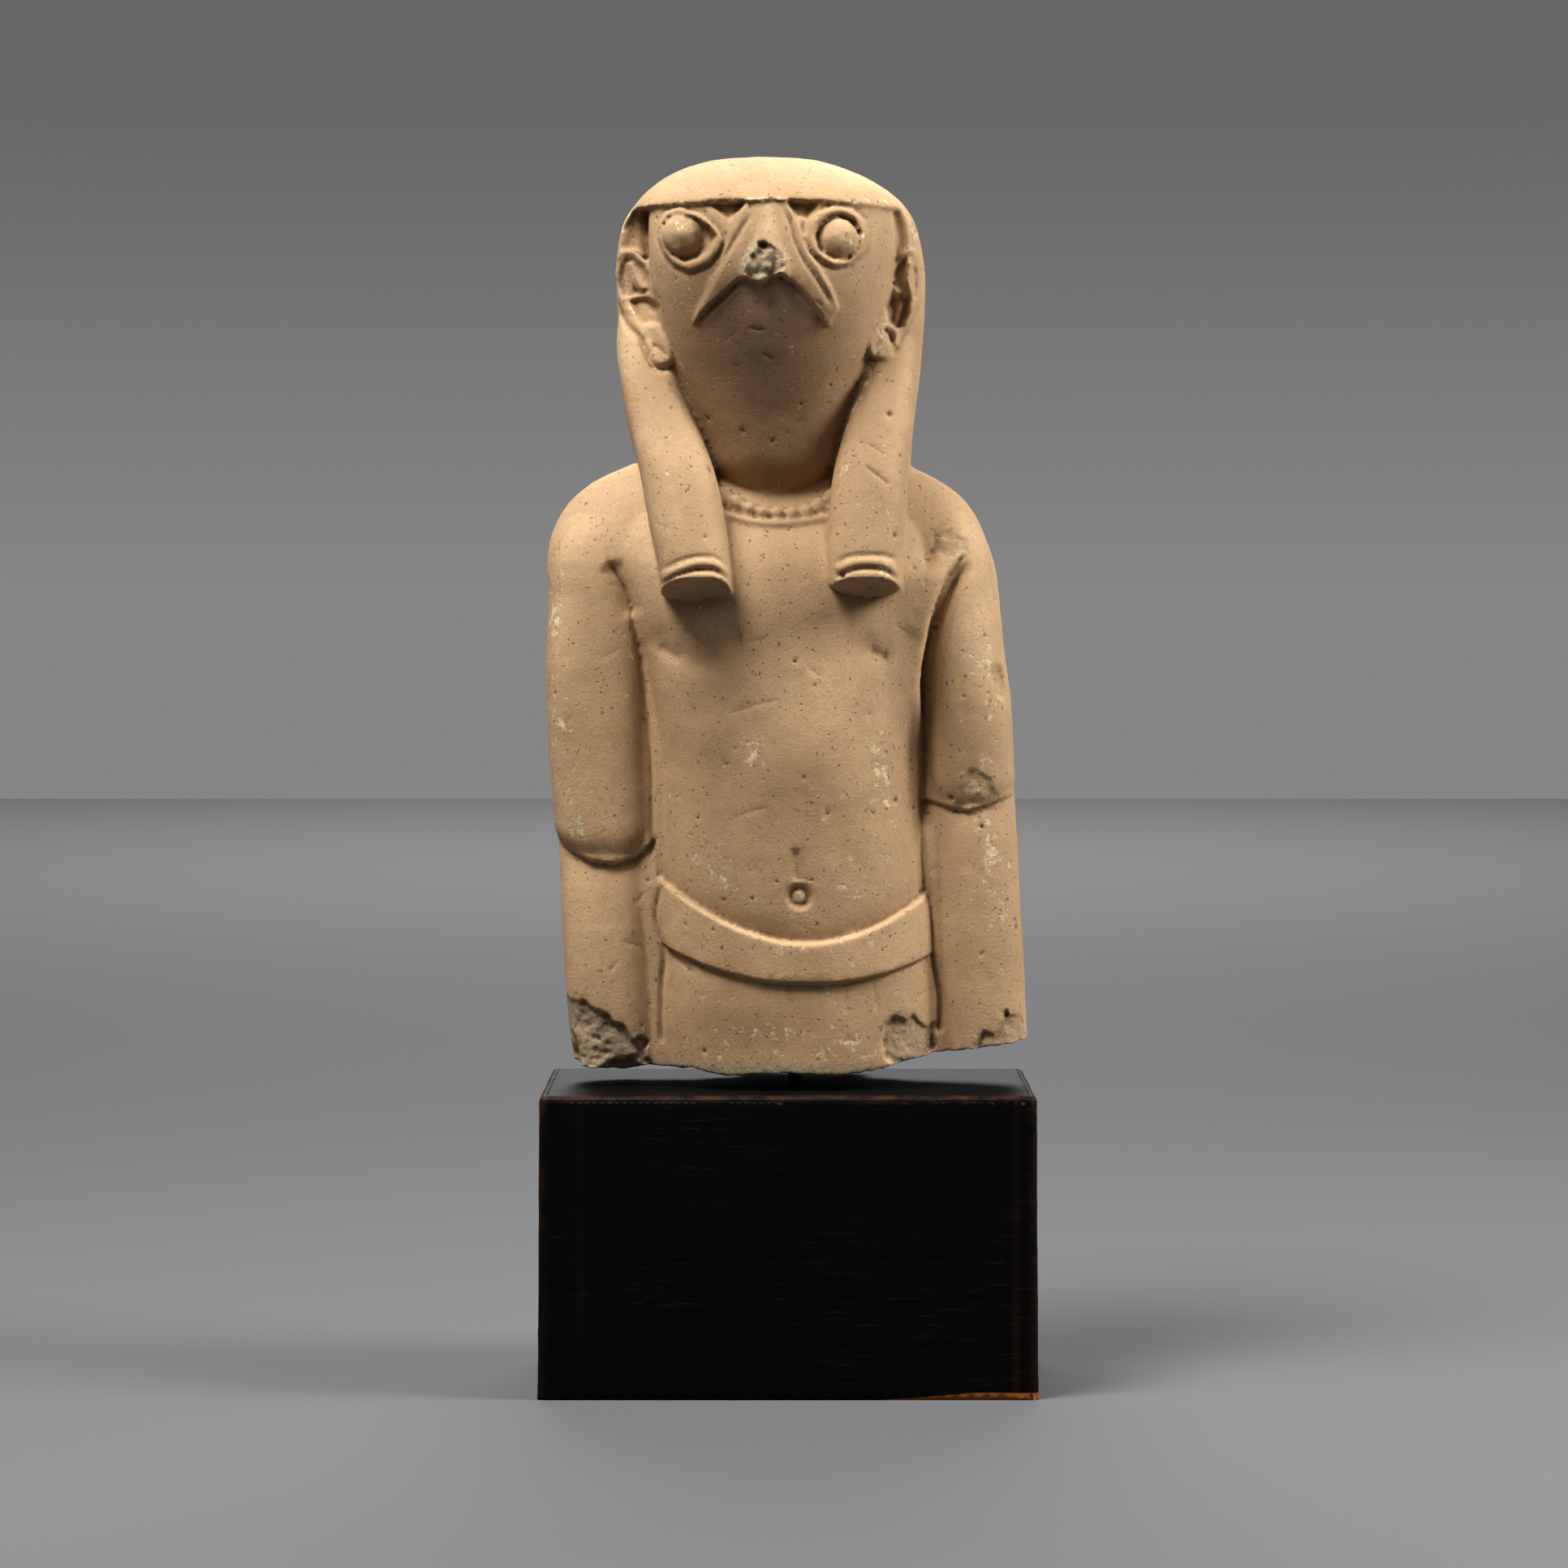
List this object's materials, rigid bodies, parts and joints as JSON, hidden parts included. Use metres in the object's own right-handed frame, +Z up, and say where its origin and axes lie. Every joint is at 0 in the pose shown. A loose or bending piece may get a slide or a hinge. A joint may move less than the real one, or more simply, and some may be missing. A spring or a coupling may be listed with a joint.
{
  "type": "falcon-headed limestone torso on a pin and block",
  "caption": "Broken limestone torso of a falcon-headed god with a plain wig and belt, held by a steel pin above a black wood block.",
  "frame": {"origin": "middle of the block's underside", "axes": "+Z up, the figure faces -Y, +X to the viewer's right"},
  "size_m": [0.214, 0.127, 0.532],
  "materials": {
    "limestone": "weathered, honey brown with cream pits",
    "pin_steel": "darkened",
    "black_wood": "black stain, satin, worn at the edges"
  },
  "bodies": {
    "root": {"horus_figure": "limestone", "mount_pin": "pin_steel", "mount_block": "black_wood"}
  },
  "joints": []
}
